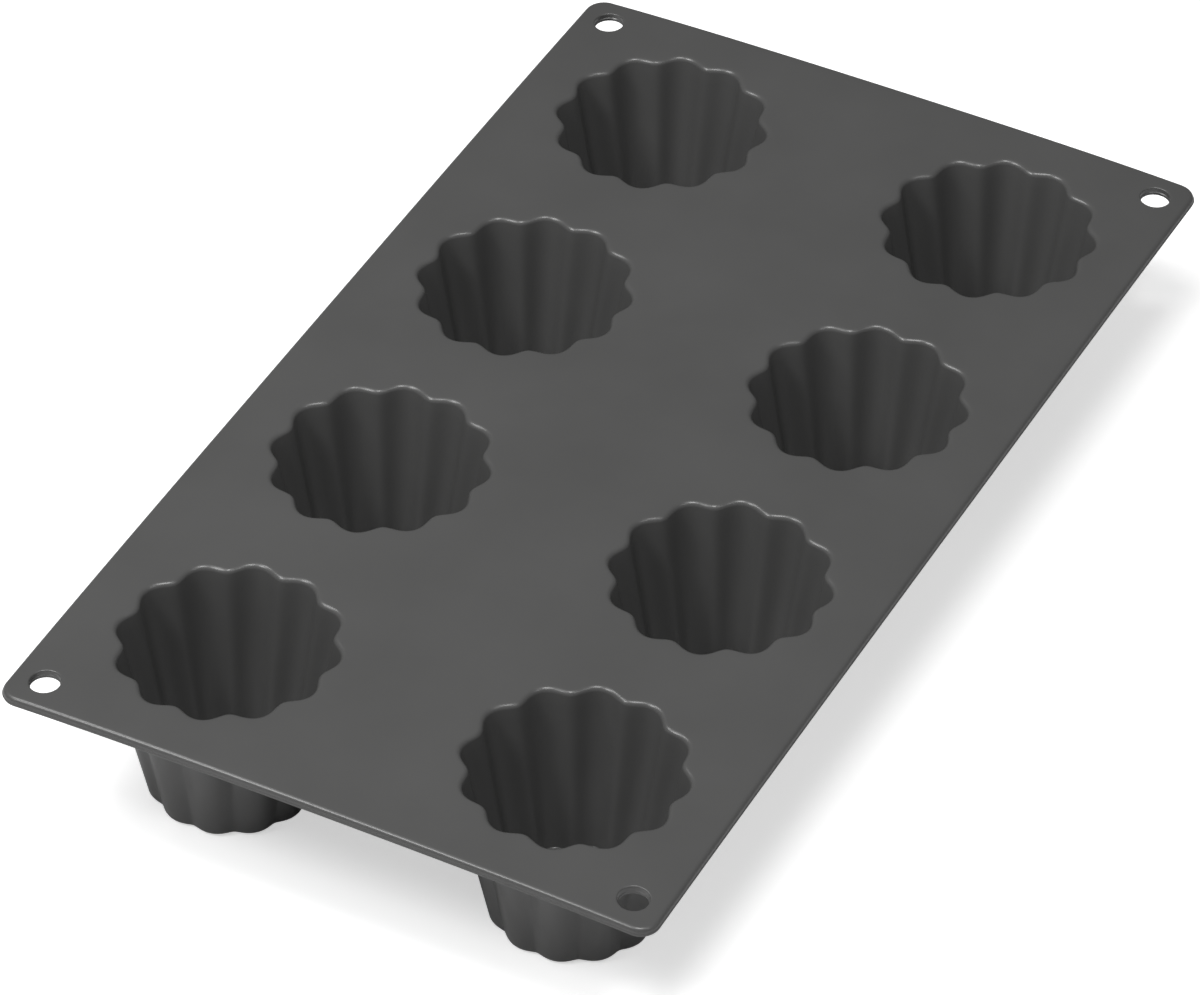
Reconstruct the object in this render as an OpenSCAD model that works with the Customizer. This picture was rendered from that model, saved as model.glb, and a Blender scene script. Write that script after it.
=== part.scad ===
// Flexible silicone mould for fluted cakes: a thin sheet that carries 2 columns of 4 cups.
// +X runs along the short side, +Y along the long side and +Z up, and the cups' feet stand on z = 0.

/* [Sheet] */
// Thickness of the flat sheet
sheet_t = 2.5; // [1.6:0.1:4]
// Distance from the centre of an outer cup to the nearest edge of the sheet
edge_margin = 39.9; // [35:0.1:70]
// Radius of the sheet's four corners, seen from above
corner_r = 6; // [3:0.5:24]
// Rounding of the sheet's upper and lower edges
edge_round = 0.6; // [0.2:0.1:0.7]

/* [Corner holes] */
// Diameter of the four round holes
hole_d = 7.5; // [4:0.1:12]
// Distance from a hole's centre to both edges of the sheet
hole_inset = 8.7; // [7:0.1:12]

/* [Cup layout] */
// Distance between the two columns of cups
pitch_x = 91.4; // [66:0.1:140]
// Distance between the rows of cups
pitch_y = 73.5; // [66:0.1:120]

/* [Cup] */
// Height from the foot of a cup to the top of the sheet
cup_h = 44.5; // [25:0.5:70]
// Mean radius of the cavity at its mouth
mouth_r = 25.9; // [21:0.1:29]
// Mean radius of the cavity at its floor
floor_r = 18; // [12:0.1:24]
// Thickness of the cup's wall
wall = 2; // [1.2:0.1:2.6]
// Thickness of the cup's floor
floor_t = 2.2; // [1.2:0.1:5]

/* [Flutes] */
// Number of flutes round a cup
flutes = 12; // [8:1:13]
// Depth of a flute at the mouth, from crest to hollow
flute_mouth = 2.4; // [0:0.1:2.8]
// Depth of a flute at the floor
flute_floor = 0.9; // [0:0.1:2]

/* [Roundings] */
// Rounding of the mouth's inner edge
mouth_round = 1.2; // [0.4:0.1:1.6]
// Rounding of the foot's outer edge
foot_round = 1.8; // [0.6:0.1:4]
// Rounding between the cavity's wall and floor
floor_round = 1.5; // [0.4:0.1:3.5]
// Hollow rounding where a cup's wall runs into the underside of the sheet
neck_round = 1; // [0.4:0.1:1.2]

/* [Hidden] */
rows = 4;
columns = 2;
points_per_flute = 6;
round_fn = 64;
silicone = [0.36, 0.36, 0.35];
sheet_w = (columns - 1) * pitch_x + 2 * edge_margin;
sheet_l = (rows - 1) * pitch_y + 2 * edge_margin;
sheet_z = cup_h - sheet_t;
ring_n = flutes * points_per_flute;
collar = wall + neck_round;

// Centre of the cup in one row, counted from the front, and one column, counted from the left
function cup_centre(row, column) =
    [(column - (columns - 1) / 2) * pitch_x, (row - (rows - 1) / 2) * pitch_y];

// Share of the cavity's height that lies below z, from 0 at the floor to 1 at the mouth
function rise(z) = (z - floor_t) / (cup_h - floor_t);
function mean_r(z) = floor_r + (mouth_r - floor_r) * rise(z);
function flute_depth(z) = flute_floor + (flute_mouth - flute_floor) * rise(z);

// One point of the cavity's fluted outline at height z, pushed out along its normal by off.
// The radius is a circle with a cosine wave laid round it, one wave to a flute.
function flute_point(z, off, angle) =
    let (
        half = flute_depth(z) / 2,
        r = mean_r(z) - half * cos(flutes * angle),
        slope = half * flutes * sin(flutes * angle),
        out = off / norm([r, slope])
    )
    [
        r * (1 + out) * cos(angle) + out * slope * sin(angle),
        r * (1 + out) * sin(angle) - out * slope * cos(angle)
    ];

function outline(z, off) = [for (i = [0 : ring_n - 1]) flute_point(z, off, i * 360 / ring_n)];

// A ring of the cup's skin: the outline that belongs to height shape_z, laid at height z
function ring(z, off, shape_z) = [for (p = outline(shape_z, off)) [p[0], p[1], z]];

// Outer skin from the foot up to the neck under the sheet
function foot_rings() = [
    for (a = [90, 45, 0])
        let (z = foot_round * (1 - sin(a)))
        ring(z, wall - foot_round * (1 - cos(a)), z)
];
function neck_rings() = [
    for (a = [0, 45])
        let (z = sheet_z - neck_round * (1 - sin(a)))
        ring(z, wall + neck_round * (1 - cos(a)), z)
];
// Collar through the sheet's thickness, upright so that it fills the sheet's opening
function collar_rings() = [for (z = [sheet_z, cup_h]) ring(z, collar, cup_h)];
// Inner skin from the mouth down to the floor
function mouth_rings() = [
    for (a = [90, 135, 180])
        let (z = cup_h - mouth_round * (1 - sin(a)))
        ring(z, mouth_round * (1 + cos(a)), z)
];
function floor_rings() = [
    for (a = [0, 45, 90])
        let (z = floor_t + floor_round * (1 - sin(a)))
        ring(z, -floor_round * (1 - cos(a)), z)
];

// Closed skin through a stack of rings, with a flat cap on the first and the last
module skin(rings) {
    count = len(rings);
    points = [for (r = rings) each r];
    sides = [
        for (j = [0 : count - 2])
            for (i = [0 : ring_n - 1])
                let (k = (i + 1) % ring_n, low = j * ring_n, high = low + ring_n)
                each [[low + i, high + i, low + k], [low + k, high + i, high + k]]
    ];
    first = [for (i = [0 : ring_n - 1]) i];
    last = [for (i = [ring_n - 1 : -1 : 0]) (count - 1) * ring_n + i];
    polyhedron(points, concat([first], sides, [last]));
}

module cup(row, column) {
    color(silicone)
        translate(cup_centre(row, column))
            skin(concat(foot_rings(), neck_rings(), collar_rings(), mouth_rings(), floor_rings()));
}

// Upright section through the sheet's rounded edge, reach wide from the inside to the rim
module edge_section(reach) {
    square([reach - edge_round, sheet_t]);
    translate([0, edge_round])
        square([reach, sheet_t - 2 * edge_round]);
    for (z = [edge_round, sheet_t - edge_round])
        translate([reach - edge_round, z])
            circle(r = edge_round, $fn = round_fn);
}

// One quarter turn of the edge at a corner, and one straight run of it along +Y
module edge_corner() {
    rotate_extrude(angle = 90, $fn = round_fn)
        edge_section(corner_r);
}
module edge_run(length) {
    translate([0, length / 2, 0])
        rotate([90, 0, 0])
            linear_extrude(length)
                edge_section(corner_r);
}

module plate() {
    half_w = sheet_w / 2 - corner_r;
    half_l = sheet_l / 2 - corner_r;
    translate([-half_w, -half_l, 0])
        cube([2 * half_w, 2 * half_l, sheet_t]);
    for (turn = [0, 180])
        rotate([0, 0, turn]) {
            translate([half_w, 0, 0])
                edge_run(2 * half_l);
            translate([0, half_l, 0])
                rotate([0, 0, 90])
                    edge_run(2 * half_w);
            translate([half_w, half_l, 0])
                edge_corner();
            translate([-half_w, half_l, 0])
                rotate([0, 0, 90])
                    edge_corner();
        }
}

module sheet() {
    color(silicone)
        translate([0, 0, sheet_z])
            difference() {
                plate();
                for (row = [0 : rows - 1], column = [0 : columns - 1])
                    translate(cup_centre(row, column))
                        translate([0, 0, -1])
                            linear_extrude(sheet_t + 2)
                                polygon(outline(cup_h, collar));
                for (x = [-1, 1], y = [-1, 1])
                    translate([x * (sheet_w / 2 - hole_inset), y * (sheet_l / 2 - hole_inset), -1])
                        cylinder(h = sheet_t + 2, d = hole_d, $fn = round_fn);
            }
}

sheet();
cup(0, 0);  // cup_front_left
cup(0, 1);  // cup_front_right
cup(1, 0);  // cup_midfront_left
cup(1, 1);  // cup_midfront_right
cup(2, 0);  // cup_midback_left
cup(2, 1);  // cup_midback_right
cup(3, 0);  // cup_back_left
cup(3, 1);  // cup_back_right
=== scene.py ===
import math
import bpy
import bmesh
import numpy as np
from mathutils import Matrix, Vector


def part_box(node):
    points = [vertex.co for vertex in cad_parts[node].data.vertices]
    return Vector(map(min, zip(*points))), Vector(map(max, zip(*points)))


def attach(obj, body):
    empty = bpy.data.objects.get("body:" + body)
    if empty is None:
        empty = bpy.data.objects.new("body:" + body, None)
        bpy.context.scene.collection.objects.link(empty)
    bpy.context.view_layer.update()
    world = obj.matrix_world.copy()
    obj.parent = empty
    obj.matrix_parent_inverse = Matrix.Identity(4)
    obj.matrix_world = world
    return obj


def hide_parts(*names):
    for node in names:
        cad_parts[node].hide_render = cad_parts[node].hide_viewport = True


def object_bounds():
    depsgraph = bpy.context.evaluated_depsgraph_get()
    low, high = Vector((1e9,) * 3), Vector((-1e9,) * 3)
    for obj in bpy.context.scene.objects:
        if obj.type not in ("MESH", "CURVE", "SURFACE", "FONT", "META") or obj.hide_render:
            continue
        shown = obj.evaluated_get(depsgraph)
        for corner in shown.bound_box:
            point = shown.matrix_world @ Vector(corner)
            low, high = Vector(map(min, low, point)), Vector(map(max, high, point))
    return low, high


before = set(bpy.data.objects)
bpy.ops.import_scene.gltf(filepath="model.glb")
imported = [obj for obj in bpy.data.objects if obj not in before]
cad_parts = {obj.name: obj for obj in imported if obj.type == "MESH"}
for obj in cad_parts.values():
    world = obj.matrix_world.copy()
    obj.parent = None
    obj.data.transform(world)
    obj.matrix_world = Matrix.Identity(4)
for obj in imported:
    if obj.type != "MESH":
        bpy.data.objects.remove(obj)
cadLow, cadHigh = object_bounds()  # the box of the solids

mm = 0.001
top = cadHigh.z  # upper face of the sheet
halfTurn = math.pi
weldReach = 0.002 * mm  # points closer than this become one
onLine = 1e-7  # a point this near to a line is on it, in metres
nearZero = 1e-9  # least share of a ray that is divided by
ringGap = 1e-5  # points of a hole's ring with closer bearings become one, in radians
borderGap = 1e-7  # the same round the whole sheet
rowNames = ["front", "midfront", "midback", "back"]
columnNames = ["left", "right"]
cupNames = [f"cup_{row}_{column}" for row in rowNames for column in columnNames]

bow = {
    "sides": 0.8 * mm,  # how much lower a long edge's middle lies than the sheet's
    "ends": 0.4 * mm,  # the same for a short edge
    "corners": 0.8 * mm,  # what a corner drops further
    "twist": -0.2 * mm,  # lifts two opposite corners and lowers the others
}


# The soft sheet hangs a little towards its edges: the square of each distance from the middle,
# the fourth power of both at the corners, and a twist. The cups' feet stay on the floor.
def settle(points, shape):
    x, y = points[..., 0] / cadHigh.x, points[..., 1] / cadHigh.y
    drop = shape["sides"] * x**2 + shape["ends"] * y**2
    drop += shape["corners"] * x**4 * y**4 + shape["twist"] * x * y
    return points - np.stack([0 * drop, 0 * drop, drop * points[..., 2] / top], axis=-1)


# Angles spread evenly over a full turn
def circleAngles(count):
    return np.arange(count) * 2 * halfTurn / count


# A circle with a cosine wave laid round it, pushed out along its own normal by off. The height
# runs from 0 at the floor to 1 at the mouth, and columns of heights give a whole wall at once.
# The wave's depth runs from lowFlute at the floor to that of the mouth.
def fluteOutline(shape, height, off, angles, lowFlute=0.0):
    mean = shape["floorRadius"] + (shape["mouthRadius"] - shape["floorRadius"]) * height
    half = (lowFlute + (shape["mouthFlute"] - lowFlute) * height) / 2
    turns = shape["flutes"] * angles
    sharp = shape["crestSharpness"]
    radius = mean - half * (np.cos(turns) + sharp * np.cos(2 * turns))
    slope = half * shape["flutes"] * (np.sin(turns) + 2 * sharp * np.sin(2 * turns))
    push = off / np.hypot(radius, slope)
    x = radius * (1 + push) * np.cos(angles) + push * slope * np.sin(angles)
    y = radius * (1 + push) * np.sin(angles) - push * slope * np.cos(angles)
    return np.stack([x, y], axis=-1)


# Quads between neighbouring rows and columns of a grid of points, numbered from start
def gridFaces(rows, columns, closed, flip, start):
    across = np.arange(columns if closed else columns - 1)
    after = (across + 1) % columns
    base = start + np.arange(rows - 1)[:, None] * columns
    quads = [base + across, base + after, base + columns + after, base + columns + across]
    if flip:
        quads = quads[::-1]
    return np.stack(quads, axis=-1).reshape(-1, 4)


# One object from grids of points, each (points, closed, flip), welded where they meet
def skinObject(name, grids, sharpAngle=35):
    points, faces, start = [], [], 0
    for grid, closed, flip in grids:
        rows, columns = grid.shape[:2]
        points.append(settle(grid.reshape(-1, 3), bow))
        faces.append(gridFaces(rows, columns, closed, flip, start))
        start += rows * columns
    mesh = bpy.data.meshes.new(name)
    mesh.from_pydata(np.concatenate(points), [], np.concatenate(faces))
    work = bmesh.new()
    work.from_mesh(mesh)
    bmesh.ops.remove_doubles(work, verts=work.verts, dist=weldReach)
    bmesh.ops.dissolve_degenerate(work, edges=work.edges, dist=weldReach / 2)
    work.to_mesh(mesh)
    work.free()
    mesh.polygons.foreach_set("use_smooth", np.ones(len(mesh.polygons), bool))
    mesh.set_sharp_from_angle(angle=math.radians(sharpAngle))
    mesh.update()
    made = bpy.data.objects.new(name, mesh)
    bpy.context.scene.collection.objects.link(made)
    return made


# Edges that don't have exactly two faces, which a closed skin has none of
def openEdges(made):
    work = bmesh.new()
    work.from_mesh(made.data)
    count = sum(1 for edge in work.edges if len(edge.link_faces) != 2)
    work.free()
    return count


cupShape = {
    "flutes": 12,
    "mouthRadius": 25.9 * mm,  # mean radius of the cavity at the mouth
    "floorRadius": 18.0 * mm,  # and at the floor
    "mouthFlute": 2.4 * mm,  # crest to hollow
    "floorFlute": 2.0 * mm,
    "footFlute": 1.15 * mm,  # the same at the foot, on the outside
    "crestSharpness": 0.064,  # second wave, as a share of the first
    "wall": 2.0 * mm,
    "floorThickness": 0.8 * mm,
    "mouthRound": 1.2 * mm,
    "footRound": 1.8 * mm,
    "floorRound": 0.3 * mm,
    "neckRound": 1.0 * mm,
    "anglesPerFlute": 24,
    "wallRows": 14,
    "arcRows": 9,
    "discRows": 5,
}


# Half section of a cup from the middle of its foot, over the rim, to the middle of its floor. Its
# columns are z, distance out from the cavity's wall, height whose outline is used and share of
# the radius.
def cupProfile(shape):
    sheetZ = top - sheetShape["thickness"]
    quarter = np.linspace(0, halfTurn / 2, shape["arcRows"])
    wall, foot, neck = shape["wall"], shape["footRound"], shape["neckRound"]
    mouth, corner, floor = shape["mouthRound"], shape["floorRound"], shape["floorThickness"]

    # rows of the section, which use the outline of their own height unless shapeZ is given
    def rows(z, off, shapeZ=None, share=1.0):
        z, off, share = np.broadcast_arrays(z, off, share)
        outlineZ = z if shapeZ is None else np.full(z.shape, shapeZ)
        return np.stack([z, off, outlineZ, share], axis=-1)

    neckRows = rows(sheetZ - neck + neck * np.sin(quarter), wall + neck * (1 - np.cos(quarter)))
    # the neck's outline turns into the collar's on the way up
    neckRows[:, 2] += (top - neckRows[:, 2]) * (1 - np.cos(quarter))
    grow = np.linspace(0, 1, shape["discRows"])
    down = quarter[::-1]
    return np.concatenate([
        rows(0.0, wall - foot, share=grow),
        rows(foot * (1 - np.sin(down)), wall - foot * (1 - np.cos(down))),
        rows(np.linspace(foot, sheetZ - neck, shape["wallRows"]), wall),
        neckRows,
        rows(np.array([sheetZ, top]), wall + neck, shapeZ=top),
        rows(top - mouth * (1 - np.cos(quarter)), mouth * (1 - np.sin(quarter))),
        rows(np.linspace(top - mouth, floor + corner, shape["wallRows"]), 0.0),
        rows(floor + corner * (1 - np.sin(quarter)), -corner * (1 - np.cos(quarter))),
        rows(floor, -corner, share=grow[::-1]),
    ])


# One cup: its half section carried round the fluted outlines
def makeCup(name, shape):
    low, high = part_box(name)
    middle = (low + high) / 2
    profile = cupProfile(shape)
    z, off, shapeZ, share = (profile[:, i, None] for i in range(4))
    height = (shapeZ - shape["floorThickness"]) / (top - shape["floorThickness"])
    angles = circleAngles(shape["flutes"] * shape["anglesPerFlute"])[None]
    outside = np.arange(len(z))[:, None] <= np.argmax(z)  # the rows up to the rim
    lowFlute = np.where(outside, shape["footFlute"], shape["floorFlute"])
    flat = fluteOutline(shape, height, off, angles, lowFlute) * share[..., None]
    upright = np.broadcast_to(z, flat.shape[:2])[..., None]
    points = np.concatenate([flat + [middle.x, middle.y], upright], axis=-1)
    made = skinObject(name + "_skin", [(points, True, False)])
    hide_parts(name)
    return made


sheetShape = {
    "thickness": 2.5 * mm,
    "cornerRadius": 5.1 * mm,
    "edgeRound": 1.2 * mm,
    "underRound": 0.5 * mm,
    "lipOut": 0.18 * mm,  # flash line left by the two halves of the tool
    "lipHeight": 0.22 * mm,
    "lipDrop": 1.5 * mm,  # below the upper face
    "holeRadius": 3.75 * mm,
    "holeInset": 8.7 * mm,
    "holeRound": 0.4 * mm,
    "holeTaper": 0.1 * mm,  # narrower at its lower end
    "holeLip": 0.2 * mm,
    # section of the flash line, as shares of its height and of how far it stands out
    "lipSection": ((-1.0, 0.0), (-0.35, 0.7), (0.0, 1.0), (0.35, 0.7), (1.0, 0.0)),
    "cellRows": 8,
    "arcRows": 7,
    "borderStep": 0.8 * mm,
}


# Middles of the cups in plan
def cupCentres():
    boxes = [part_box(name) for name in cupNames]
    return np.array([[(low.x + high.x) / 2, (low.y + high.y) / 2] for low, high in boxes])


# Where rays from a cup's centre meet the border of its share of the sheet: a rectangle up to
# halfway to the next cup or to the edge, less the square round a corner hole
def cellLoop(centre, angles, half, pitch, square):
    rays = np.stack([np.cos(angles), np.sin(angles)], axis=-1)
    high = np.where(centre + pitch < half, pitch / 2, half - centre)
    low = np.where(centre - pitch > -half, -pitch / 2, -half - centre)
    side = np.where(rays > 0, high, -low)
    reach = (side / np.maximum(np.abs(rays), nearZero)).min(axis=1)
    sign = np.sign(centre)
    corners = [np.array([x, y]) for x in (low[0], high[0]) for y in (low[1], high[1])]
    outer = np.where(sign > 0, high, -low)  # how far the cell goes towards the sheet's corner
    if np.all(np.abs(centre) + outer >= half - onLine):
        inner = outer - square
        towards = rays * sign
        entry = inner / np.maximum(towards, nearZero)
        entry = np.where(towards > nearZero, entry, np.inf).max(axis=1)
        reach = np.where(entry < reach, entry, reach)
        corners = [c for c in corners if not np.allclose(c, outer * sign)]
        notch = [inner, np.array([inner[0], outer[1]]), np.array([outer[0], inner[1]])]
        corners += [corner * sign for corner in notch]
    loop = rays * reach[:, None]
    for corner in corners:
        apart = np.exp(1j * (angles - math.atan2(corner[1], corner[0])))
        loop[np.argmin(np.abs(np.angle(apart)))] = corner
    return loop + centre


# The sheet's flat border round one corner, from one side of the hole's square to the other
def cornerBorder(sign, half, radius, square, step):
    core = half - radius
    straight = int((square - radius) / step)
    run = np.linspace(0, 1, straight + 1)[1:, None]
    turn = np.linspace(0, halfTurn / 2, int(radius * 2 / step) + 2)[1:-1, None]
    first = np.array([[half[0], half[1] - square]]) + run * [0, square - radius]
    arc = core + radius * np.concatenate([np.cos(turn), np.sin(turn)], axis=1)
    last = np.array([[core[0], half[1]]]) - (run - run[0]) * [square - radius, 0]
    return np.concatenate([first, arc, last]) * sign


# Rows of points from one closed loop to another in the plane at height z
def ruled(inner, outer, rows, z):
    mix = np.linspace(0, 1, rows + 1)[:, None, None]
    flat = inner * (1 - mix) + outer * mix
    return np.concatenate([flat, np.full(flat.shape[:2] + (1,), z)], axis=-1)


# A section of (out, z) pairs carried round a loop along its outward directions
def swept(loop, outward, profile):
    out, z = profile[:, 0, None, None], profile[:, 1, None, None]
    flat = loop + outward * out
    return np.concatenate([flat, np.broadcast_to(z, flat.shape[:2] + (1,))], axis=-1)


# Section up the sheet's edge, from its lower face to its upper one: a small rounding, a flash line
# and a larger rounding. Its pairs are out and z.
def edgeProfile(shape, roundness, wallOut, lip):
    low, under = top - shape["thickness"], shape["underRound"]
    quarter = np.linspace(0, halfTurn / 2, shape["arcRows"])
    sine, cosine = np.sin(quarter), np.cos(quarter)
    lower = np.stack([wallOut - under * (1 - sine), low + under * (1 - cosine)], axis=-1)
    upper = np.stack([wallOut - roundness * (1 - cosine), top - roundness * (1 - sine)], axis=-1)
    along, out = np.array(shape["lipSection"]).T
    lipZ = top - shape["lipDrop"] + shape["lipHeight"] * along
    line = np.stack([wallOut + lip * out, lipZ], axis=-1)
    return np.concatenate([[[wallOut - roundness, low]], lower, line, upper])


# The same section round a hole, a little narrower at its lower end
def holeProfile(shape):
    section = edgeProfile(shape, shape["holeRound"], 0.0, shape["holeLip"]) * [-1, 1]
    straight = shape["thickness"] - shape["holeRound"]
    below = np.clip((top - shape["holeRound"] - section[1:, 1]) / straight, 0, 1)
    section[1:, 0] -= shape["holeTaper"] * below
    return section


# Which points to take, in order of bearing round a centre and with doubles left out, and
# their bearings
def inOrder(points, centre, gap):
    bearing = np.arctan2(points[:, 1] - centre[1], points[:, 0] - centre[0])
    order = np.argsort(bearing)
    bearing = bearing[order]
    keep = np.concatenate([[True], np.diff(bearing) > gap])
    return order[keep], bearing[keep]


# The sheet's upper and lower faces between two loops
def bothFaces(inner, outer, shape):
    heights = (top, top - shape["thickness"])
    upper, lower = (ruled(inner, outer, shape["cellRows"], z) for z in heights)
    return [(upper, True, True), (lower, True, False)]


# The sheet: its faces cell by cell, the walls of its openings and holes, and its edge
def makeSheet(shape):
    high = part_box("sheet")[1]
    bottom = top - shape["thickness"]
    centres = cupCentres()
    pitch = np.array([np.ptp(centres[:, 0]), np.ptp(centres[:, 1]) / 3])
    edge = shape["edgeRound"] + shape["lipOut"]
    half = np.array([high.x, high.y]) - edge  # flat part of the faces
    radius = shape["cornerRadius"] - edge
    square = 2 * shape["holeInset"] - edge
    angles = circleAngles(cupShape["flutes"] * cupShape["anglesPerFlute"])
    mouth = fluteOutline(cupShape, 1.0, cupShape["wall"] + cupShape["neckRound"], angles)
    grids, loops = [], []
    for centre in centres:
        inner, outer = mouth + centre, cellLoop(centre, angles, half, pitch, square)
        loops.append(outer)
        wall = np.stack([np.column_stack([inner, np.full(len(inner), z)]) for z in (bottom, top)])
        grids += bothFaces(inner, outer, shape) + [(wall, True, True)]
    holeSection = holeProfile(shape)
    everyPoint = np.concatenate(loops)
    for sign in (np.array(s) for s in ((1, 1), (-1, 1), (-1, -1), (1, -1))):
        hole = (np.array([high.x, high.y]) - shape["holeInset"]) * sign
        local = everyPoint * sign
        shared = everyPoint[np.all(local >= half - square - onLine, axis=1)]
        border = cornerBorder(sign, half, radius, square, shape["borderStep"])
        ring = np.concatenate([shared, border])
        taken, bearing = inOrder(ring, hole, ringGap)
        ring = ring[taken]
        outward = np.stack([np.cos(bearing), np.sin(bearing)], axis=-1)
        mouthLoop = hole + outward * (shape["holeRadius"] + shape["holeRound"])
        wall = swept(hole + outward * shape["holeRadius"], outward, holeSection)
        grids += bothFaces(mouthLoop, ring, shape) + [(wall, True, True)]
        loops.append(ring)
    everyPoint = np.concatenate(loops)
    beyond = np.maximum(np.abs(everyPoint) - (half - radius), 0)
    onBorder = np.abs(np.hypot(beyond[:, 0], beyond[:, 1]) - radius) < onLine
    border, beyond = everyPoint[onBorder], beyond[onBorder] * np.sign(everyPoint[onBorder])
    taken = inOrder(border, (0, 0), borderGap)[0]
    border, beyond = border[taken], beyond[taken]
    outward = beyond / np.linalg.norm(beyond, axis=1, keepdims=True)
    section = edgeProfile(shape, shape["edgeRound"], shape["edgeRound"], shape["lipOut"])
    grids.append((swept(border, outward, section), True, False))
    made = skinObject("sheet_skin", grids)
    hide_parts("sheet")
    return made


siliconeLook = {
    "colour": (0.084, 0.084, 0.083, 1),
    "paler": (0.094, 0.094, 0.093, 1),
    "clouding": (0.3, 0.7),  # where the first colour ends and the second is reached
    "roughness": (0.28, 0.34),
    "specular": 0.7,
    "ior": 1.45,
    # scale and detail of each noise
    "cloud": (28, 3),
    "dull": (160, 4),
    "wave": (55, 1),
    "grain": (1400, 2),
    "waveHeight": 0.10 * mm,
    "grainHeight": 0.012 * mm,
}


# A value from 0 to 1 carried to another range
def mapRange(nodes, links, value, low, high):
    mapped = nodes.new("ShaderNodeMapRange")
    mapped.inputs["To Min"].default_value = low
    mapped.inputs["To Max"].default_value = high
    links.new(value, mapped.inputs["Value"])
    return mapped.outputs["Result"]


# Dull moulded rubber: a fine grain from the tool, a slow unevenness and faint clouding
def siliconeMaterial(look):
    made = bpy.data.materials.new("silicone")
    made.use_nodes = True
    nodes, links = made.node_tree.nodes, made.node_tree.links
    shader = nodes["Principled BSDF"]
    shader.inputs["IOR"].default_value = look["ior"]
    shader.inputs["Specular IOR Level"].default_value = look["specular"]
    where = nodes.new("ShaderNodeTexCoord")

    # value of one of the look's noises at each point of the piece
    def noise(name):
        found = nodes.new("ShaderNodeTexNoise")
        found.inputs["Scale"].default_value, found.inputs["Detail"].default_value = look[name]
        links.new(where.outputs["Object"], found.inputs["Vector"])
        return found.outputs["Fac"]

    ramp = nodes.new("ShaderNodeValToRGB")
    colours = (look["colour"], look["paler"])
    for stop, position, colour in zip(ramp.color_ramp.elements, look["clouding"], colours):
        stop.position = position
        stop.color = colour
    links.new(noise("cloud"), ramp.inputs["Fac"])
    links.new(ramp.outputs["Color"], shader.inputs["Base Color"])
    dull = mapRange(nodes, links, noise("dull"), *look["roughness"])
    links.new(dull, shader.inputs["Roughness"])
    bump = None
    for form in ("wave", "grain"):
        raised = nodes.new("ShaderNodeBump")
        raised.inputs["Strength"].default_value = 1.0
        raised.inputs["Distance"].default_value = look[form + "Height"]
        links.new(noise(form), raised.inputs["Height"])
        if bump:
            links.new(bump.outputs["Normal"], raised.inputs["Normal"])
        bump = raised
    links.new(bump.outputs["Normal"], shader.inputs["Normal"])
    return made


# One value for what the camera sees straight and another for all other rays
def cameraRays(nodes, links, other, seen):
    path = nodes.new("ShaderNodeLightPath")
    return mapRange(nodes, links, path.outputs["Is Camera Ray"], other, seen)


floorLook = {
    "size": 1.2,  # small enough to be white up to its edge, where the white world goes on
    "bounce": 0.78,  # colour that lights the mould and shows in its gloss
    "seen": 0.95,  # colour in the picture
    "own": 0.55,  # its own light in the picture: the open floor is white and the shadow stays
}


# A flat square: a diffuse colour plus a light of its own that only the camera sees
def makeFloor(look):
    half = look["size"] / 2
    mesh = bpy.data.meshes.new("floor")
    corners = [(x * half, y * half, 0) for x, y in ((-1, -1), (1, -1), (1, 1), (-1, 1))]
    mesh.from_pydata(corners, [], [(0, 1, 2, 3)])
    made = bpy.data.objects.new("floor", mesh)
    bpy.context.scene.collection.objects.link(made)
    material = bpy.data.materials.new("paleFloor")
    material.use_nodes = True
    nodes, links = material.node_tree.nodes, material.node_tree.links
    nodes.clear()
    output = nodes.new("ShaderNodeOutputMaterial")
    diffuse = nodes.new("ShaderNodeBsdfDiffuse")
    links.new(cameraRays(nodes, links, look["bounce"], look["seen"]), diffuse.inputs["Color"])
    own = nodes.new("ShaderNodeEmission")
    links.new(cameraRays(nodes, links, 0.0, look["own"]), own.inputs["Strength"])
    both = nodes.new("ShaderNodeAddShader")
    links.new(diffuse.outputs[0], both.inputs[0])
    links.new(own.outputs[0], both.inputs[1])
    clear = nodes.new("ShaderNodeBsdfTransparent")
    side = nodes.new("ShaderNodeNewGeometry")
    shown = nodes.new("ShaderNodeMixShader")  # see-through from below, to show the feet
    links.new(side.outputs["Backfacing"], shown.inputs["Fac"])
    links.new(both.outputs[0], shown.inputs[1])
    links.new(clear.outputs[0], shown.inputs[2])
    links.new(shown.outputs[0], output.inputs["Surface"])
    mesh.materials.append(material)
    return made


# Watts, metres and places in metres
lamps = {
    "world": 0.15,  # strength of the world's light on the mould
    "front": {"energy": 15.5, "size": 0.5, "from": (0.2830, -0.5495, 1.9021)},
    "frontLeft": {"energy": 13.5, "size": 0.5, "from": (-0.6667, -1.0352, 1.576)},
    "left": {"energy": 0.95, "size": 0.18, "from": (-0.3481, -0.179, 0.5803)},
    "right": {"energy": 2.8, "size": 0.5, "from": (1.1725, -0.376, 1.576)},
}


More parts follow.
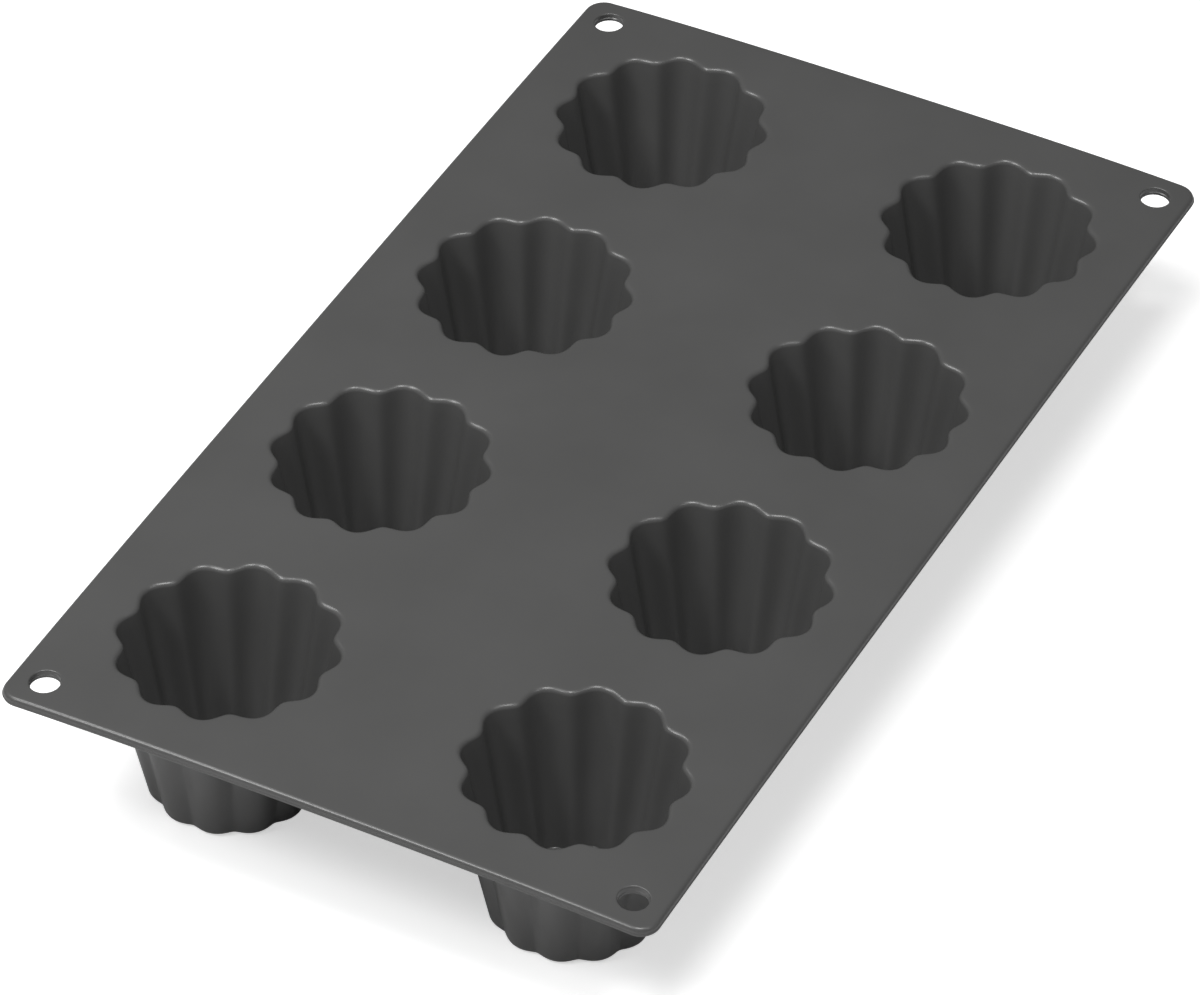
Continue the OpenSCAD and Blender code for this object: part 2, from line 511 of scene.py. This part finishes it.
# Square lamps that face the mould, in a pale world
def makeLamps(settings):
    for name in ("front", "frontLeft", "left", "right"):
        lamp = settings[name]
        data = bpy.data.lights.new(name, "AREA")
        data.energy = lamp["energy"]
        data.shape = "SQUARE"
        data.size = lamp["size"]
        made = bpy.data.objects.new(name, data)
        made.location = lamp["from"]
        made.rotation_euler = Vector(lamp["from"]).to_track_quat("Z", "Y").to_euler()
        made.visible_camera = False
        bpy.context.scene.collection.objects.link(made)
    world = bpy.data.worlds.new("studio")
    bpy.context.scene.world = world
    world.use_nodes = True
    back = world.node_tree.nodes["Background"]
    back.inputs["Color"].default_value = (1, 1, 1, 1)
    nodes, links = world.node_tree.nodes, world.node_tree.links
    links.new(cameraRays(nodes, links, settings["world"], 1.0), back.inputs["Strength"])


cameraView = {
    "place": (0.636487, -1.236157, 1.195050),  # from the middle of the sheet's upper face
    "right": (0.8861077, 0.4634700, 0.0029589),
    "down": (0.3073493, -0.5828182, -0.7522362),
    "forward": (-0.3469144, 0.6674717, -0.6588869),
    "lens": 228.5,  # in millimetres, and the next one too
    "filmWidth": 36,
    "shiftX": 0.0015,
    "clipEnd": 20,
}


# A camera from its place and its own three directions
def makeCamera(view):
    data = bpy.data.cameras.new("camera")
    data.sensor_width = view["filmWidth"]
    data.lens = view["lens"]
    data.shift_x = view["shiftX"]
    data.clip_end = view["clipEnd"]
    made = bpy.data.objects.new("camera", data)
    up, back = ([-v for v in view[name]] for name in ("down", "forward"))
    turn = Matrix([view["right"], up, back]).transposed().to_4x4()
    made.matrix_world = Matrix.Translation(Vector(view["place"]) + Vector((0, 0, top))) @ turn
    bpy.context.scene.collection.objects.link(made)
    bpy.context.scene.camera = made


makeCamera(cameraView)
makeLamps(lamps)
makeFloor(floorLook)
print("stage set")

silicone = siliconeMaterial(siliconeLook)
sheetSkin = makeSheet(sheetShape)
print("sheet:", len(sheetSkin.data.polygons), "faces,", openEdges(sheetSkin), "open edges")
cups = [makeCup(name, cupShape) for name in cupNames]
cupGaps = sum(openEdges(cup) for cup in cups)
print("cups:", len(cups[0].data.polygons), "faces each,", cupGaps, "open edges")
for piece in [sheetSkin] + cups:
    piece.data.materials.append(silicone)
    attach(piece, "root")

bpy.context.scene.view_settings.view_transform = "Standard"
